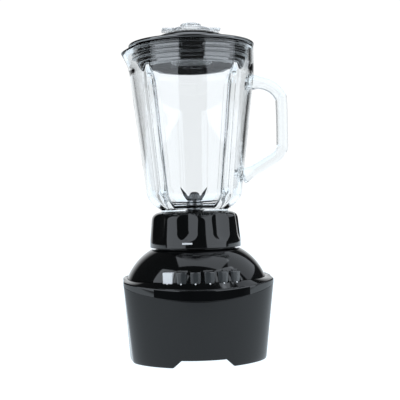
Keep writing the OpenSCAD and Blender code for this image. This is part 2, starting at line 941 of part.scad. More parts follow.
module glass_jar() {
    color([0.85, 0.92, 0.92, 0.35])
        union() {
            jar_body();
            difference() {
                union()
                    for (i = [0:len(HANDLE) - 2])
                        hull() {
                            handle_station(i);
                            handle_station(i + 1);
                        }
                jar_core();
            }
            thread_ridge(neck_r - 0.6, neck_r + 1.8, thread_z, -60, 1.25, 1.8);
        }
}

// The jar's outer wall less 2 mm, which trims the handle's roots.
module jar_core() {
    rotate_extrude($fn = 72)
        polygon(concat([[0, low_z]], [for (z = JAR_OUT_Z) if (z > low_z) [jar_out(z) - 2, z]],
                       [[0, jar_top_z - 4]]));
}

// ---- Lid and cap ----

module lid() {
    color([0.02, 0.02, 0.02])
        difference() {
            rotate_extrude($fn = EXACT)
                polygon([
                    [feed_r, lid_z + 11], [feed_r + 0.4, cap_seat_z], [29, cap_seat_z],
                    [29.6, lid_z + 14.4], [35, lid_z + 13.2], [39.5, lid_z + 11], [42, lid_z + 8.4],
                    [43, lid_z + 6.4], [48, lid_z + 5.4], [lid_r - 1.4, lid_z + 3.6],
                    [lid_r, lid_z + 2.2], [lid_r - 0.6, lid_z + 0.3], [lid_r - 2, lid_z], [plug_r, lid_z],
                    [plug_r, plug_z + 2], [plug_r - 1, plug_z], [plug_r - 3, plug_z],
                    [plug_r - 3, lid_z + 1], [40, lid_z + 4.5], [33, lid_z + 9.6],
                    [feed_r + 2.4, lid_z + 11]]);
            disc(feed_r, lid_z - 30, lid_z + 30);
        }
}

module lid_seal() {
    color([0.05, 0.05, 0.05])
        rotate_extrude($fn = EXACT)
            polygon(concat(
                [[plug_r + gap, lid_z - 1]],
                [for (z = [lid_z - 4, lid_z - 9, lid_z - 14])
                    each [[plug_r + 2, z + 2.4], [plug_r + 5.4, z + 1.4],
                          [plug_r + 5.4, z + 0.4], [plug_r + 2, z]]],
                [[plug_r + 2, plug_z + 4.5], [plug_r + gap, plug_z + 4]]));
}

module measuring_cap() {
    z = cap_seat_z;
    half_w = cap_tab_w / 2;
    corner = 3;
    root_r = 18;
    color([0.9, 0.92, 0.94, 0.4]) {
        rotate_extrude($fn = EXACT)
            polygon([
                [0, z + 12], [10, z + 11.7], [11.4, z + 10.8], [11.8, z + 7.4], [20.6, z + 6.2],
                [22.2, z + 4.8], [22.6, z + 1.8], [27, z + 1.4], [27.4, z + 0.4],
                [feed_r - 0.5, z + 0.1], [feed_r - 1.6, z - 28], [feed_r - 3.4, z - 28],
                [feed_r - 2.9, z - 3], [0, z - 2]]);
        for (side = [-1, 1])
            translate([0, 0, z + 3.4])
                linear_extrude(cap_tab_h)
                    polygon([
                        [side * root_r, -half_w], [side * (cap_tab_r - corner), -half_w],
                        [side * cap_tab_r, corner - half_w], [side * cap_tab_r, half_w - corner],
                        [side * (cap_tab_r - corner), half_w], [side * root_r, half_w]]);
    }
}

// ---- Output ----

lower_housing();
control_ring();
upper_housing();
bottom_cover();
rubber_feet();
cover_screws();
cord_gland();
switch_block();
power_board();
seat_ring();
shaft_seal();
motor_upper_bracket();
motor_lower_bracket();
stator_core();
field_coils();
bearing(bracket_z + 0.05);  // upper_bearing
bearing(low_bracket_z - 4);  // lower_bearing
brush_holders();
carbon_brushes();
brush_springs();
motor_bolts();
motor_spacers();
motor_mounts();
motor_shaft();
rotor_core();
rotor_windings();
commutator();
cooling_fan();
drive_coupling();
for (k = [1:key_count]) {
    key(k);
    key_spring(k);
}
jar_collar();
blade_base();
blade_bushings();
blade_seal();
blade_base_nut();
jar_gasket();
blade_shaft();
lower_blades();
upper_blades();
blade_washers();
blade_nut();
driven_coupling();
glass_jar();
lid();
lid_seal();
measuring_cap();
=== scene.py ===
"""Looks of a countertop blender: ribbed glass jar, gloss black base with six keys, clear measuring cap.

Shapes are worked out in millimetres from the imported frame's own boxes, and become metres in mesh_object().
phi is an angle from the front (-Y) towards the handle (+X), in degrees.
"""

import json
import math

import bmesh
import bpy
import numpy as np
from mathutils import Matrix, Vector


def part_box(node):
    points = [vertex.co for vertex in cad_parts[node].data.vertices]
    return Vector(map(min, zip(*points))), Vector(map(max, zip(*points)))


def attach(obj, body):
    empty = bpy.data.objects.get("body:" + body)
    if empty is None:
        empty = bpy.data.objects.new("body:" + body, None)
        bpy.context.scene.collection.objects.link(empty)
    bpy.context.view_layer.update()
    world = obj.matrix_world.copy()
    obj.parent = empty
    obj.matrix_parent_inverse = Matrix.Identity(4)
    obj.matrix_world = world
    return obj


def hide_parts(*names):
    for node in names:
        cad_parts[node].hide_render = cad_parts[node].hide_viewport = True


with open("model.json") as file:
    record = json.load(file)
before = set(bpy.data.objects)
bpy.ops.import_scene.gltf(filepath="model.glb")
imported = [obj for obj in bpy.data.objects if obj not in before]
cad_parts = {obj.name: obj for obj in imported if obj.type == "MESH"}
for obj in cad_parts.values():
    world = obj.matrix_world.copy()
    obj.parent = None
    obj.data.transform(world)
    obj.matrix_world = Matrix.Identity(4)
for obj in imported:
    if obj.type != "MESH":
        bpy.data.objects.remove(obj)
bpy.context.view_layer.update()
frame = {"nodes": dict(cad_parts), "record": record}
MM = 0.001


def span(node):
    """Lowest and highest corner of a CAD node, in millimetres."""
    low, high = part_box(node)
    return low / MM, high / MM


# ---- Places and sizes from the frame, in millimetres ----

RIM_Z = span("lower_housing")[1].z
BOSS_Z = span("upper_housing")[1].z
COLLAR_LOW, COLLAR_HIGH = span("jar_collar")
JAR_LOW, JAR_HIGH = span("glass_jar")
LID_LOW, LID_HIGH = span("lid")
SEAL_LOW, SEAL_HIGH = span("lid_seal")
CAP_LOW, CAP_HIGH = span("measuring_cap")
BLADE_BASE_LOW, BLADE_BASE_HIGH = span("blade_base")
LEVEL_BLADES_Z = span("lower_blades")[0].z
RAISED_BLADES_Z = span("upper_blades")[0].z
NUT_LOW, NUT_HIGH = span("blade_nut")

WALL = 2.6
SHAFT_R = 4.0

# Keys
KEY_COUNT = 6
KEY_PITCH = 11.2
KEY_WIDTH = 11.0
KEY_FRONT_R = 77.2
KEY_DEPTH = 6.4
KEY_ROOM = 0.4

# Camera and studio
CAMERA_AZIMUTH = -5.0
CAMERA_DISTANCE = 1.0
CAMERA_HEIGHT = 0.1735
CAMERA_AIM_Z = 0.1753
CAMERA_AIM_SIDE = 0.0061
CAMERA_ROLL = 1.3
CAMERA_LENS = 80.6
LIGHT_TINT = (0.93, 1.0, 1.08)


# ---- Small maths ----

def mix(a, b, t):
    return a + (b - a) * t


def clamp01(t):
    return min(1.0, max(0.0, t))


def ease(t):
    c = clamp01(t)
    return c * c * (3 - 2 * c)


def bell(d, w):
    return math.exp(-((d / w) ** 2))


def wrap(a):
    return (a + 180) % 360 - 180


def polar(r, phi, z):
    a = math.radians(phi)
    return (r * math.sin(a), -r * math.cos(a), z)


def smooth_min(a, b, k):
    """The smaller of two values, rounded over a width of k where they meet."""
    h = max(k - abs(a - b), 0.0) / k
    return min(a, b) - h * h * k / 4


def rounded(points, radius, closed=True, steps=4):
    """A 2-D outline with each corner replaced by a short curve. radius is one number or one per point."""
    n = len(points)
    radii = radius if isinstance(radius, (list, tuple)) else [radius] * n
    out = []
    for i, p in enumerate(points):
        p = np.array(p, float)
        if not closed and i in (0, n - 1):
            out.append(tuple(p))
            continue
        before = np.array(points[i - 1], float) - p
        after = np.array(points[(i + 1) % n], float) - p
        cut_a = min(radii[i], 0.45 * np.linalg.norm(before))
        cut_b = min(radii[i], 0.45 * np.linalg.norm(after))
        a = p + before / max(np.linalg.norm(before), 1e-9) * cut_a
        b = p + after / max(np.linalg.norm(after), 1e-9) * cut_b
        for s in range(steps + 1):
            t = s / steps
            out.append(tuple((1 - t) ** 2 * a + 2 * t * (1 - t) * p + t * t * b))
    return out


# ---- Mesh making ----

def mesh_object(name, points, faces, sharp=38.0):
    """An object from points in millimetres, shaded smooth with edges sharper than an angle kept."""
    mesh = bpy.data.meshes.new(name)
    mesh.from_pydata([tuple(c * MM for c in p) for p in points], [], faces)
    obj = bpy.data.objects.new(name, mesh)
    bpy.context.scene.collection.objects.link(obj)
    tidy(obj, sharp)
    return obj


def tidy(obj, sharp=38.0):
    """Joins doubled points, makes every face point outwards and sets the shading."""
    work = bmesh.new()
    work.from_mesh(obj.data)
    bmesh.ops.remove_doubles(work, verts=work.verts, dist=1e-6)
    bmesh.ops.dissolve_degenerate(work, edges=work.edges, dist=1e-7)
    bmesh.ops.recalc_face_normals(work, faces=work.faces)
    work.to_mesh(obj.data)
    work.free()
    obj.data.shade_smooth()
    obj.data.set_sharp_from_angle(angle=math.radians(sharp))
    obj.data.update()


def grid_faces(rows, cols, close_rows=True, close_cols=True):
    """Four-sided faces over points laid out row by row, closed into a ring or not in each direction."""
    faces = []
    for i in range(rows if close_rows else rows - 1):
        for j in range(cols if close_cols else cols - 1):
            k, m = (i + 1) % rows, (j + 1) % cols
            faces.append((i * cols + j, k * cols + j, k * cols + m, i * cols + m))
    return faces


def ring_of_sections(name, section, steps, sharp=38.0):
    """A closed ring: section(phi) gives the same number of (radius, height) pairs at every angle."""
    loops = [section(360 * i / steps) for i in range(steps)]
    points = [polar(r, 360 * i / steps, z) for i, loop in enumerate(loops) for r, z in loop]
    return mesh_object(name, points, grid_faces(steps, len(loops[0])), sharp)


def lathe(name, profile, steps=160, closed=True):
    """A turned piece. A profile that isn't closed starts and ends on the axis."""
    points = [polar(r, 360 * i / steps, z) for i in range(steps) for r, z in profile]
    return mesh_object(name, points, grid_faces(steps, len(profile), True, closed))


def loft(name, rows, sharp=38.0):
    """A closed piece through rows of points, each row a cross-section."""
    n = len(rows[0])
    points = [p for row in rows for p in row]
    faces = grid_faces(len(rows), n, False, True)
    faces.append(tuple(range(n)))
    faces.append(tuple(len(points) - n + j for j in reversed(range(n))))
    return mesh_object(name, points, faces, sharp)


def swept(name, path, outline, across, sizes, sharp):
    """A closed tube of one outline along a path in a plane. across is the plane's normal."""
    across = Vector(across)
    rows = []
    for i, p in enumerate(path):
        ahead = Vector(path[min(i + 1, len(path) - 1)]) - Vector(path[max(i - 1, 0)])
        side = ahead.normalized().cross(across)
        grow_u, grow_v = sizes[i]
        rows.append([Vector(p) + side * (u * grow_u) + across * (v * grow_v) for u, v in outline])
    return loft(name, rows, sharp)


def freeze(obj, sharp=38.0):
    """Makes an object's modifiers part of its mesh."""
    graph = bpy.context.evaluated_depsgraph_get()
    mesh = bpy.data.meshes.new_from_object(obj.evaluated_get(graph))
    obj.modifiers.clear()
    obj.data = mesh
    tidy(obj, sharp)
    return obj


def combine(obj, others, operation, sharp=38.0):
    """Cuts other objects out of one, or joins them to it, and deletes them."""
    for other in others:
        change = obj.modifiers.new("combine", "BOOLEAN")
        change.operation = operation
        change.solver = "EXACT"
        change.object = other
    bpy.context.view_layer.update()
    freeze(obj, sharp)
    for other in others:
        bpy.data.objects.remove(other)
    return obj


def join(name, pieces, sharp=38.0):
    """One object from several that don't share faces."""
    work = bmesh.new()
    for piece in pieces:
        piece.data.transform(piece.matrix_world)
        work.from_mesh(piece.data)
    mesh = bpy.data.meshes.new(name)
    work.to_mesh(mesh)
    work.free()
    for piece in pieces:
        bpy.data.objects.remove(piece)
    obj = bpy.data.objects.new(name, mesh)
    bpy.context.scene.collection.objects.link(obj)
    tidy(obj, sharp)
    return obj


def block(name, low, high, round_by, steps):
    """A box between two corners in millimetres, with its edges rounded."""
    work = bmesh.new()
    bmesh.ops.create_cube(work, size=1.0)
    low, high = Vector(low) * MM, Vector(high) * MM
    size = high - low
    bmesh.ops.scale(work, vec=size, verts=work.verts)
    bmesh.ops.translate(work, vec=(low + high) / 2, verts=work.verts)
    bmesh.ops.bevel(work, geom=list(work.edges), offset=round_by * MM, segments=steps,
                    affect="EDGES", profile=0.5)
    mesh = bpy.data.meshes.new(name)
    work.to_mesh(mesh)
    work.free()
    obj = bpy.data.objects.new(name, mesh)
    bpy.context.scene.collection.objects.link(obj)
    tidy(obj)
    return obj


def turn(obj, phi):
    """Turns a piece built at the front to another angle around the axis."""
    obj.data.transform(Matrix.Rotation(math.radians(phi), 4, "Z"))
    return obj


# ---- Materials ----

def start_material(name):
    """A new material, its nodes, its shader and the piece's own coordinates."""
    mat = bpy.data.materials.new(name)
    mat.use_nodes = True
    tree = mat.node_tree
    shader = tree.nodes["Principled BSDF"]
    coords = tree.nodes.new("ShaderNodeTexCoord")
    return mat, tree, shader, coords.outputs["Object"]


def noise(tree, vector, scale, detail=3.0, stretch=(1, 1, 1)):
    """Noise over the piece's own coordinates. scale is features per metre."""
    mapping = tree.nodes.new("ShaderNodeMapping")
    mapping.inputs["Scale"].default_value = stretch
    tree.links.new(vector, mapping.inputs["Vector"])
    node = tree.nodes.new("ShaderNodeTexNoise")
    node.inputs["Scale"].default_value = scale
    node.inputs["Detail"].default_value = detail
    tree.links.new(mapping.outputs["Vector"], node.inputs["Vector"])
    return node.outputs["Fac"]


def spread(tree, value, low, high, start=0.3, end=0.7):
    """Maps a value from start..end, which is where noise mostly lies, onto low..high."""
    node = tree.nodes.new("ShaderNodeMapRange")
    node.inputs["From Min"].default_value = start
    node.inputs["From Max"].default_value = end
    node.inputs["To Min"].default_value = low
    node.inputs["To Max"].default_value = high
    tree.links.new(value, node.inputs["Value"])
    return node.outputs["Result"]


def blend_colours(tree, value, first, second):
    """Goes from one colour to the other as noise rises."""
    ramp = tree.nodes.new("ShaderNodeValToRGB")
    ramp.color_ramp.elements[0].position = 0.3
    ramp.color_ramp.elements[1].position = 0.7
    ramp.color_ramp.elements[0].color = (*first, 1)
    ramp.color_ramp.elements[1].color = (*second, 1)
    tree.links.new(value, ramp.inputs["Fac"])
    return ramp.outputs["Color"]


def bump(tree, shader, height, depth, before=None):
    """Raises the surface by up to depth millimetres."""
    node = tree.nodes.new("ShaderNodeBump")
    node.inputs["Strength"].default_value = 1.0
    node.inputs["Distance"].default_value = depth * MM
    tree.links.new(height, node.inputs["Height"])
    if before:
        tree.links.new(before, node.inputs["Normal"])
    tree.links.new(node.outputs["Normal"], shader.inputs["Normal"])
    return node.outputs["Normal"]


def plastic(name, colour, rough, grain=900, grain_depth=0.01, wave_depth=0.0, variety=0.15, ior=1.5):
    """Moulded plastic: slight colour drift, uneven gloss, and a grain or a faint moulding wave."""
    mat, tree, shader, place = start_material(name)
    shader.inputs["IOR"].default_value = ior
    drift = noise(tree, place, 35, 4)
    light = tuple(min(1.0, c * (1 + variety)) for c in colour)
    dark = tuple(c * (1 - variety) for c in colour)
    tree.links.new(blend_colours(tree, drift, dark, light), shader.inputs["Base Color"])
    wear = noise(tree, place, 160, 6)
    tree.links.new(spread(tree, wear, rough * 0.85, rough * 1.2), shader.inputs["Roughness"])
    normal = bump(tree, shader, noise(tree, place, grain, 2), grain_depth)
    if wave_depth:
        bump(tree, shader, noise(tree, place, 30, 1), wave_depth, normal)
    return mat


def metal(name, colour, rough, stretch, scratches, fine=700):
    """Metal with fine drawn or turned scratches along one direction."""
    mat, tree, shader, place = start_material(name)
    shader.inputs["Metallic"].default_value = 1.0
    streaks = noise(tree, place, fine, 5, stretch)
    light = tuple(min(1.0, c * 1.08) for c in colour)
    dark = tuple(c * 0.86 for c in colour)
    tree.links.new(blend_colours(tree, streaks, dark, light), shader.inputs["Base Color"])
    tree.links.new(spread(tree, streaks, rough * 0.75, rough * 1.3), shader.inputs["Roughness"])
    bump(tree, shader, streaks, scratches)
    return mat


def rubber(name, colour, rough=0.6, grain_depth=0.03, ior=1.4):
    return plastic(name, colour, rough, 1400, grain_depth, 0.0, 0.15, ior)


def clear(name, tint, rough, ior, absorb, density, wave_depth, through=1.0):
    """A clear solid: a faint wave in its surface, and a tint that deepens with the way light takes in it."""
    mat, tree, shader, place = start_material(name)
    shader.inputs["Transmission Weight"].default_value = through
    shader.inputs["IOR"].default_value = ior
    haze = noise(tree, place, 60, 3)
    hazy = tuple(c * 0.995 for c in tint)
    tree.links.new(blend_colours(tree, haze, hazy, tint), shader.inputs["Base Color"])
    tree.links.new(spread(tree, haze, rough * 0.5, rough * 1.5), shader.inputs["Roughness"])
    bump(tree, shader, noise(tree, place, 28, 1), wave_depth)
    volume = tree.nodes.new("ShaderNodeVolumeAbsorption")
    volume.inputs["Color"].default_value = (*absorb, 1)
    volume.inputs["Density"].default_value = density
    output = tree.nodes["Material Output"]
    tree.links.new(volume.outputs["Volume"], output.inputs["Volume"])
    return mat


MATERIALS = {
    "gloss_black": plastic("gloss_black", (0.003, 0.0034, 0.0036), 0.06, 1200, 0.0004, 0.01, 0.15, 1.6),
    # A copy of the gloss black with a lower IOR, so it reflects less: the painted dark reflection on the ring's
    # front.
    "dark_reflection_black": plastic("dark_reflection_black", (0.0035, 0.0038, 0.004), 0.05, 1200, 0.0004, 0.004, 0.15, 1.13),
    "lid_black": plastic("lid_black", (0.004, 0.0044, 0.0046), 0.08, 1200, 0.0004, 0.004, 0.15, 2.6),
    "satin_black": plastic("satin_black", (0.0032, 0.0036, 0.004), 0.14, 1500, 0.0003, 0.004, 0.1, 1.4),
    "cover_black": plastic("cover_black", (0.018, 0.018, 0.019), 0.5, 1300, 0.03),
    "key_white": plastic("key_white", (0.78, 0.79, 0.8), 0.3, 1200, 0.003, 0.0, 0.03),
    "key_silver": plastic("key_silver", (0.03, 0.033, 0.035), 0.16, 1500, 0.001, 0.0, 0.08, 1.8),
    "jar_glass": clear("jar_glass", (0.985, 0.988, 0.99), 0.006, 1.5, (0.8, 0.85, 0.855), 14.0, 0.12),
    "cap_clear": clear("cap_clear", (0.985, 0.988, 0.99), 0.3, 1.16, (0.8, 0.83, 0.85), 2.0, 0.02, 0.85),
    "blade_steel": metal("blade_steel", (0.13, 0.14, 0.15), 0.25, (1, 1, 6), 0.004),
    "steel": metal("steel", (0.55, 0.56, 0.57), 0.28, (1, 1, 8), 0.003),
    "core_steel": metal("core_steel", (0.2, 0.21, 0.22), 0.45, (0.2, 0.2, 40), 0.02, 60),
    "copper_wire": metal("copper_wire", (0.62, 0.25, 0.1), 0.32, (6, 0.5, 6), 0.06, 260),
    "brass": metal("brass", (0.72, 0.52, 0.24), 0.3, (1, 1, 8), 0.004),
    "bracket_metal": metal("bracket_metal", (0.6, 0.61, 0.63), 0.42, (1, 1, 1), 0.01, 400),
    "rubber": rubber("rubber", (0.018, 0.018, 0.018)),
    "seal": rubber("seal", (0.008, 0.0085, 0.009), 0.14, 0.001, 2.4),
    "gasket_clear": rubber("gasket_clear", (0.7, 0.72, 0.71), 0.4),
    "carbon": plastic("carbon", (0.03, 0.03, 0.03), 0.55, 900, 0.03),
    "board_green": plastic("board_green", (0.03, 0.16, 0.06), 0.4, 500, 0.01),
    "switch_cream": plastic("switch_cream", (0.6, 0.56, 0.47), 0.45, 900, 0.01),
    "holder_brown": plastic("holder_brown", (0.15, 0.07, 0.03), 0.5, 900, 0.01),
    "mark_white": plastic("mark_white", (0.82, 0.83, 0.84), 0.45, 2500, 0.004, 0.0, 0.02),
}


def finish_piece(obj, slot, body, *nodes, material=None):
    """Gives a piece the material of its slot, or the one named, makes it ride on its body and stand for its CAD
    nodes.
    """
    obj.data.materials.clear()
    obj.data.materials.append(MATERIALS[material or slot])
    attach(obj, body)
    if nodes:
        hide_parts(*nodes)
    return obj


def paint_cad_nodes():
    """Every CAD node, shown or not, gets the material of its slot."""
    for part in frame["record"]["subparts"]:
        node = frame["nodes"][part["node"]]
        node.data.materials.clear()
        node.data.materials.append(MATERIALS[part["material_slot"]])
        node.data.shade_smooth()
        node.data.set_sharp_from_angle(angle=math.radians(30))


# ---- Base ----

FOOT_Z = 1.0
FOOT_R = 75.1
RIM_R = 81.6
NOTCH_TOP = 47.8
NOTCH_LOW = 65.5
NOTCH_H = 9.0
GLAND_R = 6.4
CORNER_PHI = 65
SLOPE = math.tan(math.radians(15.5))
SCOOP_Y = -10.0
SCOOP_DEPTH = 19.5
CREST_RISE = 1.6
CREST_DROP = 9.1
CREST_LEAN = 1.1
# How far to each side the strip with the painted dark reflection reaches, in degrees.
DARK_STRIP_REACH = 37
DOME_ARC_R = 61.0
DOME_ARC_X = 19.8
DOME_ARC_Z = RIM_Z - 21.9
DOME_R = 76.7
BOSS_R = 44.5
SHELF_R = DOME_R + 0.25
SHELF_Z = RIM_Z - 0.2


def corner(phi):
    """How far the housing bulges at its two sides, from 0 to 1."""
    a = abs(wrap(phi))
    return bell(a - CORNER_PHI, 22 if a < CORNER_PHI else 9)


def plan_r(phi, z):
    """Outer radius of the lower housing."""
    t, f = z / RIM_Z, math.cos(math.radians(phi))
    front = mix(1.3, 2.4, t) if f > 0 else mix(0.6, 1.2, t)
    return mix(FOOT_R, RIM_R, t) + front * f + mix(2.5, 6.5, t) * corner(phi)


def scoop_at(phi, inset):
    """Height of the lower housing's rim, which dips towards the front."""
    y = -(plan_r(phi, RIM_Z - 8) - inset) * math.cos(math.radians(phi))
    return min(RIM_Z, RIM_Z + 1 + (y - SCOOP_Y) * SLOPE)


def scoop_share(phi):
    """How far the rim has dipped, from 0 to 1 at the very front."""
    return clamp01((RIM_Z - scoop_at(phi, 0)) / SCOOP_DEPTH)


def bottom_z(phi):
    """Lower edge of the lower housing, raised over the notches at the front and back."""
    x = abs(plan_r(phi, 5) * math.sin(math.radians(phi)))
    t = (NOTCH_LOW / 2 - x) / ((NOTCH_LOW - NOTCH_TOP) / 2)
    return mix(FOOT_Z, NOTCH_H, clamp01(t))


def housing_section(phi):
    """Outer side, rim, inner side and lower edge."""
    zo, zi, zb = scoop_at(phi, 0), scoop_at(phi, WALL), bottom_z(phi)
    outer = [(plan_r(phi, z), z) for z in np.linspace(zb + 3, zo - 1, 16)]
    inner = [(plan_r(phi, z) - WALL, z) for z in np.linspace(zi - 1, zb + 3, 8)]
    lip = rounded([outer[-1], (plan_r(phi, zo), zo), (plan_r(phi, zi) - WALL, zi), inner[0]], 0.7, False)
    rb = plan_r(phi, zb)
    foot = rounded([inner[-1], (rb - WALL, zb), (rb - 0.6, zb), outer[0]], 1.2, False)
    return outer[:-1] + lip + inner[1:-1] + foot[:-1]


def make_lower_housing():
    """The tapered skirt, with a round hole at the back for the cord gland."""
    shell = ring_of_sections("lower_housing_shell", housing_section, 320)
    gland_low, gland_high = span("cord_gland")
    gland = (gland_low + gland_high) / 2
    hole = [(GLAND_R * math.cos(a), GLAND_R * math.sin(a)) for a in np.linspace(0, 2 * math.pi, 48, False)]
    cutter = loft("cutter", [[(x, gland.y - z, gland.z + y) for x, y in hole] for z in (-8, 8)])
    combine(shell, [cutter], "DIFFERENCE")
    return finish_piece(shell, "satin_black", "base", "lower_housing")


def crest(phi):
    """Radius and height of the ring's crest, which dips and leans in towards the front."""
    u = scoop_share(phi)
    return plan_r(phi, RIM_Z) - 1.4 - CREST_LEAN * u, RIM_Z + CREST_RISE - CREST_DROP * u


def lip_line(phi):
    """The foot and the head of the ring's outer face."""
    foot_z = scoop_at(phi, 0)
    crest_r, crest_z = crest(phi)
    return (plan_r(phi, foot_z) + 0.5 * scoop_share(phi), foot_z), (crest_r + 1.2, crest_z - 0.6)


def ring_section(phi):
    """Outer face, crest, the shelf in to the dome and a plain underside."""
    foot, head = lip_line(phi)
    zi = scoop_at(phi, WALL)
    under = plan_r(phi, zi) - WALL - 0.6
    bore_r = 72
    outline = [
        foot, head, crest(phi), (SHELF_R, SHELF_Z), (SHELF_R, SHELF_Z - 0.6), (bore_r, SHELF_Z - 0.6),
        (bore_r, RIM_Z - 3), (under, zi - 1), (under, zi)]
    radii = [0.2, 0.5, 0.5, 0.4, 0.2, 0.3, 0.3, 0.3, 0.2]
    return rounded(outline, radii, True, 5)


def key_cutters():
    """One block for each key's slot in the ring and the dome."""
    bottom = RIM_Z - 14
    cutters = []
    for k in range(KEY_COUNT):
        half = KEY_WIDTH / 2 + KEY_ROOM
        cutter = block("cutter", (-half, -KEY_FRONT_R - KEY_ROOM, bottom),
                       (half, -KEY_FRONT_R + KEY_DEPTH + KEY_ROOM, RIM_Z + 20), 0.6, 2)
        cutters.append(turn(cutter, key_phi(k)))
    return cutters


def key_phi(k):
    """Where a key stands. Key 0 is the leftmost."""
    return (k - (KEY_COUNT - 1) / 2) * KEY_PITCH


def make_control_ring():
    ring = ring_of_sections("control_ring_trim", ring_section, 320)
    combine(ring, key_cutters(), "DIFFERENCE", 34)
    return finish_piece(ring, "gloss_black", "base", "control_ring")


def make_dark_reflection_strip():
    """A thin strip on the front of the ring's outer face, under the keys, that reflects less than the ring: a
    painted dark reflection.
    """
    start, end = 0.02, 0.9
    sunk, proud = -0.3, 0.04
    steps = 72
    rows = []
    for i in range(steps + 1):
        phi = mix(-DARK_STRIP_REACH, DARK_STRIP_REACH, i / steps)
        (foot_r, foot_z), (head_r, head_z) = lip_line(phi)
        rows.append([polar(mix(foot_r, head_r, share) + lift, phi, mix(foot_z, head_z, share))
                     for share, lift in ((start, sunk), (start, proud), (end, proud), (end, sunk))])
    return finish_piece(loft("control_ring_dark_reflection_strip", rows), "gloss_black", "base", material="dark_reflection_black")


def dome_radius(z):
    """The dome's side is one arc."""
    return DOME_ARC_X + math.sqrt(DOME_ARC_R ** 2 - (z - DOME_ARC_Z) ** 2)


def make_dome():
    """The upper housing: a domed shell with a low boss for the jar's seat and a bore for the coupling."""
    shoulder_z = BOSS_Z - 4.5
    arc = [(dome_radius(z), z) for z in np.linspace(RIM_Z, shoulder_z, 40)]
    inner = [(dome_radius(z) - WALL * 1.1, z) for z in np.linspace(shoulder_z - WALL, RIM_Z, 14)]
    bore_r = 14
    boss = [arc[-1], (BOSS_R + 0.2, shoulder_z), (BOSS_R, BOSS_Z - 0.3), (BOSS_R - 2, BOSS_Z),
            (bore_r, BOSS_Z), (bore_r, BOSS_Z - WALL), (BOSS_R - 3, BOSS_Z - WALL), inner[0]]
    dome = lathe("upper_housing_shell", arc[:-1] + rounded(boss, 0.8, False) + inner[1:], 240)
    combine(dome, key_cutters(), "DIFFERENCE", 34)
    return finish_piece(dome, "gloss_black", "base", "upper_housing")


def make_key(k):
    """A tab with a bowed face, slightly narrower at its foot, and its stem below."""
    node = f"key_{k + 1}"
    stem_low, key_high = span(node)
    top = key_high.z
    low = RIM_Z - 5
    half, front, back = KEY_WIDTH / 2, -KEY_FRONT_R, -KEY_FRONT_R + KEY_DEPTH
    bow = math.radians(8 if k == 0 else 30)
    arc_r = half / math.sin(bow)
    up = 20
    rows = []
    for i in range(up + 1):
        t = i / up
        z = mix(low, top, t)
        width = half * mix(0.95, 1.0, t)
        outline = [(-width, back), (width, back)]
        outline += [(width * math.sin(a) / math.sin(bow), front + arc_r * (1 - math.cos(a)))
                    for a in np.linspace(bow, -bow, 15)]
        rows.append([(x, y, z) for x, y in rounded(outline, 0.5, True, 2)])
    middle = (front + back) / 2
    edge = rows.pop()
    for scale, sink in ((1.0, 0.55), (0.975, 0.12), (0.93, 0.0)):
        rows.append([(x * scale, (y - middle) * scale + middle, top - sink) for x, y, z in edge])
    tab = loft(node + "_tab", rows, 50)
    stem = block("stem", (-2.5, -75, stem_low.z), (2.5, -71, low + 1), 0.3, 2)
    key = turn(join(node + "_cap", [tab, stem], 50), key_phi(k))
    slot = "key_white" if k == 0 else "key_silver"
    return finish_piece(key, slot, node, node)


def make_key_marks():
    """A white dot at the foot of each key, on the shelf that slopes down from the dome to the lip."""
    marks = []
    mark_r = KEY_FRONT_R + 0.6
    dot_r = 0.85
    dot = [(dot_r * math.cos(a), dot_r * math.sin(a)) for a in np.linspace(0, 2 * math.pi, 20, False)]
    for k in range(KEY_COUNT):
        phi = key_phi(k)
        crest_r, crest_z = crest(phi)
        slope = (SHELF_Z - crest_z) / (crest_r - SHELF_R)
        mark_z = SHELF_Z - slope * (mark_r - SHELF_R)
        tilt = math.atan(slope)
        c, s = math.cos(tilt), math.sin(tilt)
        rows = [[(x, -mark_r - y * c - lift * s, mark_z - y * s + lift * c) for x, y in dot]
                for lift in (-0.3, 0.12)]
        marks.append(turn(loft("mark", rows), phi))
    return finish_piece(join("key_marks", marks), "key_white", "base", material="mark_white")


# ---- Collar and blade unit ----

COLLAR_R = COLLAR_HIGH.x
SCALLOP_COUNT = 8
SCALLOP_PHASE = -15.0
SCALLOP_R = 44.0
SCALLOP_X = 90.9
SCALLOP_DEPTH = 3.9
SCALLOP_LOW = COLLAR_LOW.z + 7
SCALLOP_END = 11.0
SCALLOP_LEAN = 0.13
COLLAR_TOP = COLLAR_HIGH.z
POST_H = 26
BLADE_T = 1.4
NUT_R = 7.2


def collar_outline():
    """The collar's outer side before the scallops are cut."""
    low, top = COLLAR_LOW.z, COLLAR_TOP
    outer = [(COLLAR_R - 0.3, low), (COLLAR_R, low + 0.4), (COLLAR_R - 0.1, low + 7), (48.2, top - 6.7),
             (46.6, top - 3.4), (43.4, top - 0.9), (40.2, top)]
    return rounded(outer, [0.1, 0.2, 6, 3, 3, 3, 0.4], False, 6)


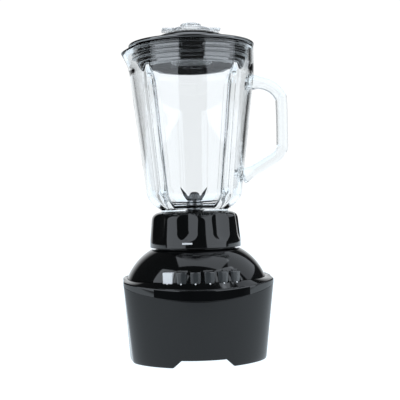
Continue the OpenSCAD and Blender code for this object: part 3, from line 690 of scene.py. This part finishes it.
def collar_section(phi):
    """Outer side cut by the scallops, then the inner side with the groove over the seat ring."""
    step = 360 / SCALLOP_COUNT
    off = abs((phi - SCALLOP_PHASE + step / 2) % step - step / 2)
    a = math.radians(off)
    points = []
    line = collar_outline()
    dense = []
    for (r0, z0), (r1, z1) in zip(line, line[1:]):
        count = max(1, int(math.hypot(r1 - r0, z1 - z0) / 0.8))
        dense += [(mix(r0, r1, s / count), mix(z0, z1, s / count)) for s in range(count)]
    dense.append(line[-1])
    inside = SCALLOP_R ** 2 - (SCALLOP_X * math.sin(a)) ** 2
    for r, z in dense:
        if inside > 0:
            up = z - SCALLOP_LOW - SCALLOP_END
            bow_out = SCALLOP_DEPTH * min(0.0, up / SCALLOP_END) ** 2 - SCALLOP_LEAN * max(0.0, up)
            cut_r = SCALLOP_X * math.cos(a) - math.sqrt(inside) + bow_out
            r = smooth_min(r, cut_r, 0.5)
        points.append((r, z))
    low, top = COLLAR_LOW.z, COLLAR_TOP
    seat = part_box("seat_ring")[1].z / MM
    plate_low, plate_top = BLADE_BASE_LOW.z - 0.1, BLADE_BASE_HIGH.z - POST_H
    plate_in, groove_in, groove_out, skirt_in = 26, 36.2, 41.8, 46
    inner = [(39.5, top - 0.6), (39.6, top - 2.5), (39.8, plate_top), (plate_in, plate_top),
             (plate_in, plate_low), (groove_in, plate_low), (groove_in, seat), (groove_out, seat),
             (groove_out, plate_low), (skirt_in, plate_low), (skirt_in, low)]
    return points + inner


def make_collar():
    collar = ring_of_sections("collar_grip", collar_section, 480, 40)
    return finish_piece(collar, "gloss_black", "collar_unit", "jar_collar")


def make_collar_mark():
    """The white bar under one scallop, which shows when the collar is locked."""
    low_z = COLLAR_LOW.z + 4.6
    height = 1.9
    steps = 12
    corners = ((0, -0.4), (0, 0.1), (height, 0.1), (height, -0.4))
    rows = []
    for i in range(steps + 1):
        phi = SCALLOP_PHASE + mix(-6.2, 6.2, i / steps)
        rows.append([polar(COLLAR_R + lift, phi, low_z + up) for up, lift in corners])
    return finish_piece(loft("collar_mark", rows), "key_white", "collar_unit", material="mark_white")


def make_blade_base():
    """The flat disc that closes the glass, and the post in its middle."""
    z0 = BLADE_BASE_LOW.z
    z1 = z0 + 3.4
    top = BLADE_BASE_HIGH.z
    bore_r = 7.02
    outline = [(bore_r, z0), (12.5, z0), (12.5, z1), (39.2, z1), (39.2, z1 + 2.5), (15, z1 + 3), (12.5, z1 + 6),
               (10.8, z1 + 8), (10.4, top - 3), (9.6, top - 2.2), (9.6, top), (bore_r, top)]
    post = lathe("blade_post", rounded(outline, [0.1, 0.4, 0.2, 0.4, 0.8, 2, 2, 2, 0.6, 0.6, 0.5, 0.1]), 128)
    return finish_piece(post, "satin_black", "collar_unit", "blade_base")


def blade_arm(low_z, reach, rise):
    """One arm along +X: widest before its middle, pointed, bent up along a curve, with a ground edge."""
    slope = math.tan(math.radians(rise))
    wide_at = 0.45
    bend_start, bend_r = 7.5, 2.2
    steps = 26
    rows = []
    for i in range(steps + 1):
        t = i / steps
        x = mix(3.6, reach, t)
        bend = max(0.0, x - bend_start)
        z = low_z + slope * (bend - bend_r * (1 - math.exp(-bend / bend_r)))
        top = z + BLADE_T
        half = mix(2.7, 3.1, t / wide_at) if t < wide_at else mix(3.1, 0.2, (t - wide_at) / (1 - wide_at))
        lead, trail = 0.8 * t ** 2 - half, 0.8 * t ** 2 + half
        rows.append([
            (x, lead, z + 0.25), (x, lead + min(1.6, (trail - lead) * 0.4), top), (x, trail - 0.3, top),
            (x, trail, top - 0.3), (x, trail, z + 0.2), (x, trail - 0.3, z), (x, lead, z)])
    return loft("arm", rows, 25)


def make_blades(name, node, low_z, azimuth, reach, rise):
    """Two opposite arms on one flat hub."""
    arms = [turn(blade_arm(low_z, reach, rise), azimuth + side) for side in (0, 180)]
    hub_r, top = 8.8, low_z + BLADE_T
    hub = lathe("hub", rounded([(SHAFT_R, low_z), (hub_r, low_z), (hub_r, top), (SHAFT_R, top)], 0.25), 64)
    return finish_piece(join(name, arms + [hub], 25), "blade_steel", "blades", node)


def make_blade_nut():
    """A hexagon with a rounded crown."""
    low, high = NUT_LOW.z, NUT_HIGH.z
    corners = [math.radians(a) for a in range(0, 360, 60)]
    hexagon = rounded([(NUT_R * math.cos(a), NUT_R * math.sin(a)) for a in corners], 0.7, True, 3)
    levels = [(0.9, low), (1.0, low + 0.6), (1.0, low + 4.6), (0.88, low + 5.4)]
    body = loft("nut_body", [[(x * scale, y * scale, z) for x, y in hexagon] for scale, z in levels], 30)
    outline = [(0, low + 5), (5.6, low + 5), (5.6, low + 6.6), (3.4, high - 0.2), (0, high)]
    crown = lathe("nut_crown", rounded(outline, [0, 0.3, 1.6, 1.6, 0], False), 48, False)
    return finish_piece(join("blade_dome_nut", [body, crown], 30), "blade_steel", "blades", "blade_nut")


# ---- Glass jar ----

JAR_TOP = JAR_HIGH.z
NECK_Z = JAR_LOW.z
MOUTH_R = 69.5
BELLY_R = 53.0
NECK_R = 37.2
NECK_IN = 32.4
GLASS = 4.6
BEND_Z = JAR_TOP - 30
BELLY_Z = COLLAR_TOP + 21
LOW_Z = COLLAR_TOP + 2.2
RIB_PHASE = -5.0
RIB_DEPTH = 5.0
SPOUT_PHI = -90
SPOUT_WIDTH = 17
MARKS_PHI = -6
HANDLE = [(66, 306), (76, 305.4), (85, 303), (93, 298), (98.5, 291), (100.7, 283), (100.7, 237),
          (98.8, 229.5), (94, 223), (84, 216.6), (70, 208.5), (55, 201)]


def jar_out(z):
    """Outer radius of the glass, without its ribs and spout."""
    if z > BEND_Z:
        return MOUTH_R
    if z > BELLY_Z:
        return mix(BELLY_R, MOUTH_R, (z - BELLY_Z) / (BEND_Z - BELLY_Z))
    if z > LOW_Z:
        return foot_curve(z, LOW_Z, NECK_R, BELLY_R)
    return NECK_R


def foot_curve(z, low_z, low_r, high_r):
    """Radius of the jar's foot, which opens out from the neck to the belly."""
    t = clamp01((BELLY_Z - z) / (BELLY_Z - low_z))
    return low_r + (high_r - low_r) * (1 - t ** 1.8)


def spout(phi, z):
    """How far the spout pushes the wall out."""
    return 9.5 * bell(wrap(phi - SPOUT_PHI), SPOUT_WIDTH) * clamp01((z - BEND_Z) / 30) ** 1.6


def lip_drop(phi):
    """How far the spout's lip lies below the mouth."""
    return 5 * bell(wrap(phi - SPOUT_PHI), SPOUT_WIDTH)


def rib_gap(phi):
    """Angle to the nearest of the four ribs."""
    return abs((phi - RIB_PHASE) % 90 - 45)


def rib(phi, z):
    """How far a rib stands into the jar: a rounded bar with steep sides and a pointed top."""
    length = ease((JAR_TOP - 21 - z) / 15) * ease((z - (COLLAR_TOP + 3)) / 12)
    half = 7.8 * mix(0.35, 1.0, ease((JAR_TOP - 18 - z) / 26))
    distance = math.radians(rib_gap(phi)) * jar_out(z)
    return RIB_DEPTH * length * ease((1.3 - distance / half) / 0.6)


def groove(phi, z):
    """A shallow hollow on the outside over each rib."""
    length = ease((JAR_TOP - 28 - z) / 20) * ease((z - (BELLY_Z - 6)) / 12)
    distance = math.radians(rib_gap(phi)) * jar_out(z)
    return 1.1 * length * bell(distance, 4.5)


def jar_section(phi):
    """Outer side from the neck up, the lip, then the inner side down and the neck's lower edge."""
    drop, lip_r = lip_drop(phi), MOUTH_R + spout(phi, JAR_TOP)

    def lowered(z):
        return z - (drop * (z - BEND_Z) / (JAR_TOP - BEND_Z) if z > BEND_Z else 0)

    heights = list(np.linspace(NECK_Z + 1, LOW_Z, 8)) + [LOW_Z + 0.3, LOW_Z + 0.9, LOW_Z + 1.8, LOW_Z + 3.2]
    heights += list(np.linspace(LOW_Z + 5, BELLY_Z, 9)) + list(np.linspace(BELLY_Z + 4, BEND_Z - 6, 26))
    heights += [BEND_Z - 3, BEND_Z, BEND_Z + 3] + list(np.linspace(BEND_Z + 7, JAR_TOP - 4, 8))
    soft = {BEND_Z - 3: 0.12, BEND_Z: 0.35, BEND_Z + 3: 0.12}
    outer = [(jar_out(z) + spout(phi, z) - groove(phi, z) - soft.get(z, 0), lowered(z)) for z in heights]
    low_in = LOW_Z + 5
    in_heights = []
    for start, end, count in ((JAR_TOP - 5, JAR_TOP - 18, 6), (JAR_TOP - 20, JAR_TOP - 46, 16),
                              (JAR_TOP - 52, BELLY_Z, 22), (BELLY_Z - 2, low_in + 0.6, 9)):
        in_heights += list(np.linspace(start, end, count))
    thicker = 0.7
    inner = []
    for z in in_heights:
        if z > BELLY_Z:
            plain = jar_out(z) - GLASS - thicker * clamp01((z - BEND_Z) / 10)
        else:
            plain = foot_curve(z, low_in, NECK_IN + 4, BELLY_R - GLASS)
        inner.append((plain + spout(phi, z) - rib(phi, z), lowered(z)))
    lip = [outer[-1], (lip_r, JAR_TOP - drop), (lip_r - GLASS, JAR_TOP - drop - 0.5), inner[0]]
    lip = rounded(lip, 1.9, False, 6)
    foot = [inner[-1], (NECK_IN + 2, low_in - 0.8), (NECK_IN, low_in - 3), (NECK_IN, NECK_Z),
            (NECK_R, NECK_Z), outer[0]]
    foot = rounded(foot, [0, 1.5, 2, 0.8, 0.8, 0], False, 6)
    return outer[:-1] + lip + inner[1:-1] + foot[:-1]


def smooth_path(points):
    """A Catmull-Rom curve through given points."""
    per_span = 6
    out = []
    pts = [np.array(p, float) for p in points]
    for i in range(len(pts) - 1):
        p0, p1, p2, p3 = pts[max(i - 1, 0)], pts[i], pts[i + 1], pts[min(i + 2, len(pts) - 1)]
        for s in range(per_span):
            t = s / per_span
            out.append(0.5 * (2 * p1 + (p2 - p0) * t + (2 * p0 - 5 * p1 + 4 * p2 - p3) * t * t
                              + (3 * p1 - p0 - 3 * p2 + p3) * t ** 3))
    out.append(pts[-1])
    return out


def make_handle():
    """The grip: a flattened oval bar that swells where it joins the wall."""
    line = smooth_path(HANDLE)
    bite = 2.4
    start_x, end_x = jar_out(HANDLE[0][1]) - bite, jar_out(HANDLE[-1][1]) - bite
    line = [p for p in line if not (p[1] > 290 and p[0] < start_x) and not (p[1] < 215 and p[0] < end_x)]
    path = [(p[0], 0, p[1]) for p in line]
    travelled = [0.0]
    for a, b in zip(path, path[1:]):
        travelled.append(travelled[-1] + math.dist(a, b))
    total = travelled[-1]
    sizes = []
    for d in travelled:
        swell = bell(d, 7) + bell(total - d, 8)
        sizes.append((1 + 0.42 * swell, 1 + 0.28 * swell))
    oval = []
    for a in np.linspace(0, 2 * math.pi, 40, False):
        c, s = math.cos(a), math.sin(a)
        oval.append((6.1 * math.copysign(abs(c) ** 0.8, c), 11.2 * math.copysign(abs(s) ** 0.7, s)))
    return swept("handle", path, oval, (0, 1, 0), sizes, 60)


def make_jar():
    jar = ring_of_sections("jar_glass_body", jar_section, 480, 50)
    combine(jar, [make_handle()], "UNION", 42)
    return finish_piece(jar, "jar_glass", "jar", "glass_jar")


def make_graduations():
    """Generic capacity marks on the front: short raised ticks with their numbers."""
    tick_length = 11
    pieces = []
    for z, label in ((336, "1750"), (312, "1500")):
        text = bpy.data.curves.new("number", "FONT")
        text.body = label
        text.size = 4.4
        text.align_x = "RIGHT"
        text.align_y = "CENTER"
        text.extrude = 0.07
        text.resolution_u = 3
        holder = bpy.data.objects.new("number", text)
        bpy.context.scene.collection.objects.link(holder)
        bpy.context.view_layer.update()
        graph = bpy.context.evaluated_depsgraph_get()
        flat = bpy.data.meshes.new_from_object(holder.evaluated_get(graph))
        bpy.data.objects.remove(holder)
        ticks = block("tick", (0, -0.35, -0.07), (tick_length, 0.35, 0.07), 0.05, 1)
        for mesh, shift, unit in ((flat, -2.0, 1.0), (ticks.data, 0.0, 1 / MM)):
            for v in mesh.vertices:
                across, up, lift = v.co.x * unit + shift, v.co.y * unit, v.co.z * unit
                height = z + up
                phi = math.degrees(across / jar_out(height)) + MARKS_PHI
                v.co = Vector(polar(jar_out(height) - groove(phi, height) + 0.05 + lift, phi, height)) * MM
        number = bpy.data.objects.new("number", flat)
        bpy.context.scene.collection.objects.link(number)
        pieces += [number, ticks]
    marks = join("graduations", pieces)
    return finish_piece(marks, "jar_glass", "jar")


# ---- Lid and cap ----

LID_Z = LID_LOW.z + 22.7
LID_R = 70.3
PLUG_R = 58.0
FEED_R = 24.6
CAP_TAB_WIDTH = 17
CAP_TAB_START = 18


def make_lid():
    """The flange, the raised middle with the cap's opening, and the plug that goes down into the glass."""
    top = LID_HIGH.z
    outline = [
        (FEED_R, LID_Z + 11), (FEED_R + 0.4, top), (29, top), (29.6, LID_Z + 14.4), (35, LID_Z + 13.2),
        (39.5, LID_Z + 11), (42, LID_Z + 8.4), (43, LID_Z + 6.4), (48, LID_Z + 5.4),
        (LID_R - 1.2, LID_Z + 3.7), (LID_R, LID_Z + 2.2), (LID_R - 0.6, LID_Z + 0.2), (LID_R - 2.4, LID_Z),
        (PLUG_R, LID_Z), (PLUG_R, LID_LOW.z + 2), (PLUG_R - 1, LID_LOW.z), (PLUG_R - 3, LID_LOW.z),
        (PLUG_R - 3, LID_Z + 1),
        (40, LID_Z + 4.5), (33, LID_Z + 9.6), (FEED_R + 2.4, LID_Z + 11)]
    radii = [0.4, 0.6, 0.2, 0.8, 4, 4, 1.2, 1.4, 3, 1.4, 1.2, 0.5, 0.5, 0.6, 0.8, 0.8, 0.8, 3, 4, 3, 0.8]
    lid = lathe("lid_shell", rounded(outline, radii, True, 6), 240)
    return finish_piece(lid, "gloss_black", "lid", "lid", material="lid_black")


def make_lid_seal():
    """A sleeve round the plug with three ridges."""
    low, high = SEAL_LOW.z, SEAL_HIGH.z
    outline = [(PLUG_R + 0.03, high)]
    for z in (high - 3, high - 8, high - 13):
        outline += [(PLUG_R + 2, z + 2.4), (PLUG_R + 5.2, z + 1.7), (PLUG_R + 5.2, z + 0.7), (PLUG_R + 2, z)]
    outline += [(PLUG_R + 2, low + 0.5), (PLUG_R + 0.03, low)]
    seal = lathe("lid_seal_rings", rounded(outline, 0.6, True, 4), 200)
    return finish_piece(seal, "seal", "lid", "lid_seal")


def make_cap():
    """A knob on a wide cover, a short plug below it and an ear on each side."""
    z, top, low = LID_HIGH.z, CAP_HIGH.z, CAP_LOW.z
    outline = [
        (0, top), (10, top - 0.3), (11.4, top - 1.2), (11.8, z + 7.4), (20.6, z + 6.2), (22.2, z + 4.8),
        (22.6, z + 1.8), (27, z + 1.4), (27.4, z + 0.4), (FEED_R + 0.6, z + 0.3), (FEED_R - 0.6, z - 0.2),
        (FEED_R - 1.7, low + 0.8), (FEED_R - 2.4, low), (FEED_R - 3.6, low + 0.3), (FEED_R - 3.1, z - 3),
        (12, z - 2.1), (0, z - 2)]
    radii = [0, 1, 1, 1.2, 2, 1.2, 0.8, 0.5, 0.4, 0.4, 0.5, 0.8, 0.5, 0.5, 3, 4, 0]
    cap = lathe("measuring_cap_body", rounded(outline, radii, False, 6), 160, False)
    half = CAP_TAB_WIDTH / 2
    tabs = [block("tab", (x0, -half, z + 3.4), (x1, half, z + 6.4), 1.2, 4)
            for x0, x1 in ((-CAP_HIGH.x, -CAP_TAB_START), (CAP_TAB_START, CAP_HIGH.x))]
    combine(cap, tabs, "UNION")
    return finish_piece(cap, "cap_clear", "cap", "measuring_cap")


# ---- Stage ----

def make_camera():
    """Looks at the blender from the height of its blades, rolled a little like the photo's."""
    a = math.radians(CAMERA_AZIMUTH)
    right = Vector((math.cos(a), math.sin(a), 0))
    place = Vector((math.sin(a), -math.cos(a), 0)) * CAMERA_DISTANCE + Vector((0, 0, CAMERA_HEIGHT))
    aim = right * CAMERA_AIM_SIDE + Vector((0, 0, CAMERA_AIM_Z))
    ahead = (aim - place).normalized()
    side = ahead.cross(Vector((0, 0, 1))).normalized()
    up = side.cross(ahead)
    roll = math.radians(CAMERA_ROLL)
    side, up = side * math.cos(roll) - up * math.sin(roll), up * math.cos(roll) + side * math.sin(roll)
    data = bpy.data.cameras.new("camera")
    data.lens = CAMERA_LENS
    data.sensor_width = 36
    data.clip_end = 50
    camera = bpy.data.objects.new("camera", data)
    bpy.context.scene.collection.objects.link(camera)
    camera.matrix_world = Matrix((
        (side.x, up.x, -ahead.x, place.x), (side.y, up.y, -ahead.y, place.y),
        (side.z, up.z, -ahead.z, place.z), (0, 0, 0, 1)))
    bpy.context.scene.camera = camera


def softbox(name, azimuth, elevation, distance, width, height, radiance):
    """A rectangular light that faces the blender. azimuth is counted from the camera, to its right."""
    a, e = math.radians(CAMERA_AZIMUTH + azimuth), math.radians(elevation)
    centre = Vector((0, 0, 0.2))
    away = Vector((math.sin(a) * math.cos(e), -math.cos(a) * math.cos(e), math.sin(e)))
    data = bpy.data.lights.new(name, "AREA")
    data.shape = "RECTANGLE"
    data.size, data.size_y = width, height
    data.energy = radiance * math.pi * width * height
    data.color = LIGHT_TINT
    lamp = bpy.data.objects.new(name, data)
    bpy.context.scene.collection.objects.link(lamp)
    lamp.location = centre + away * distance
    lamp.rotation_euler = away.to_track_quat("Z", "Y").to_euler()
    lamp.visible_camera = False
    return lamp


def make_world():
    """White where the camera looks, white behind the blender and dark in front of it in the reflections."""
    world = bpy.data.worlds.new("studio")
    bpy.context.scene.world = world
    world.use_nodes = True
    tree = world.node_tree
    tree.nodes.clear()
    output = tree.nodes.new("ShaderNodeOutputWorld")
    seen = tree.nodes.new("ShaderNodeBackground")
    seen.inputs["Color"].default_value = (1, 1, 1, 1)
    seen.inputs["Strength"].default_value = 1.05
    around = tree.nodes.new("ShaderNodeBackground")
    around.inputs["Color"].default_value = (0.97, 1.0, 1.02, 1)
    coords = tree.nodes.new("ShaderNodeTexCoord")
    split = tree.nodes.new("ShaderNodeSeparateXYZ")
    tree.links.new(coords.outputs["Generated"], split.inputs["Vector"])
    strength = spread(tree, split.outputs["Y"], 0.03, 1.04, 0.78, 0.95)
    tree.links.new(strength, around.inputs["Strength"])
    choose = tree.nodes.new("ShaderNodeMixShader")
    path = tree.nodes.new("ShaderNodeLightPath")
    tree.links.new(path.outputs["Is Camera Ray"], choose.inputs["Fac"])
    tree.links.new(around.outputs["Background"], choose.inputs[1])
    tree.links.new(seen.outputs["Background"], choose.inputs[2])
    tree.links.new(choose.outputs["Shader"], output.inputs["Surface"])


def make_floor():
    """A white floor. Its reflection darkens where it runs on towards the camera."""
    radius, count = 6000, 64
    points = [(0, 0, 0)] + [polar(radius, 360 * i / count, 0) for i in range(count)]
    faces = [(0, 1 + i, 1 + (i + 1) % count) for i in range(count)]
    floor = mesh_object("floor", points, faces)
    mat, tree, shader, place = start_material("floor_white")
    drift = noise(tree, place, 3, 3)
    grey = blend_colours(tree, drift, (0.1, 0.1, 0.1), (0.12, 0.12, 0.12))
    tree.links.new(grey, shader.inputs["Base Color"])
    shader.inputs["Roughness"].default_value = 0.8
    shader.inputs["Emission Color"].default_value = (0.9, 1.0, 1.08, 1)
    split = tree.nodes.new("ShaderNodeSeparateXYZ")
    tree.links.new(place, split.inputs["Vector"])
    path = tree.nodes.new("ShaderNodeLightPath")
    glow = tree.nodes.new("ShaderNodeMath")
    glow.operation = "MAXIMUM"
    tree.links.new(spread(tree, split.outputs["Y"], 0.03, 1.12, -0.5, -0.3), glow.inputs[0])
    tree.links.new(spread(tree, path.outputs["Is Camera Ray"], 0.0, 1.12, 0.0, 1.0), glow.inputs[1])
    tree.links.new(glow.outputs["Value"], shader.inputs["Emission Strength"])
    floor.data.materials.append(mat)


# ---- Everything ----

bpy.context.scene.view_settings.view_transform = "Standard"
make_camera()
make_world()
make_floor()
softbox("softbox_left", -50, 20, 1.5, 1.53, 2.0, 1.5)
softbox("softbox_right", 55, 20, 1.5, 1.66, 2.0, 1.5)
softbox("softbox_top", 85, 83, 1.6, 1.1, 1.7, 1.1)
softbox("softbox_side", 118, 36, 1.6, 1.3, 1.1, 0.75)

paint_cad_nodes()
make_lower_housing()
make_control_ring()
# The strip that paints a dark reflection on the ring's front.
make_dark_reflection_strip()
make_dome()
for key_index in range(KEY_COUNT):
    make_key(key_index)
make_key_marks()
make_collar()
make_collar_mark()
make_blade_base()
make_blades("level_blades", "lower_blades", LEVEL_BLADES_Z, 6.5, 28.8, 3)
make_blades("raised_blades", "upper_blades", RAISED_BLADES_Z, 46, 24.4, 46)
make_blade_nut()
make_jar()
make_graduations()
make_lid()
make_lid_seal()
make_cap()
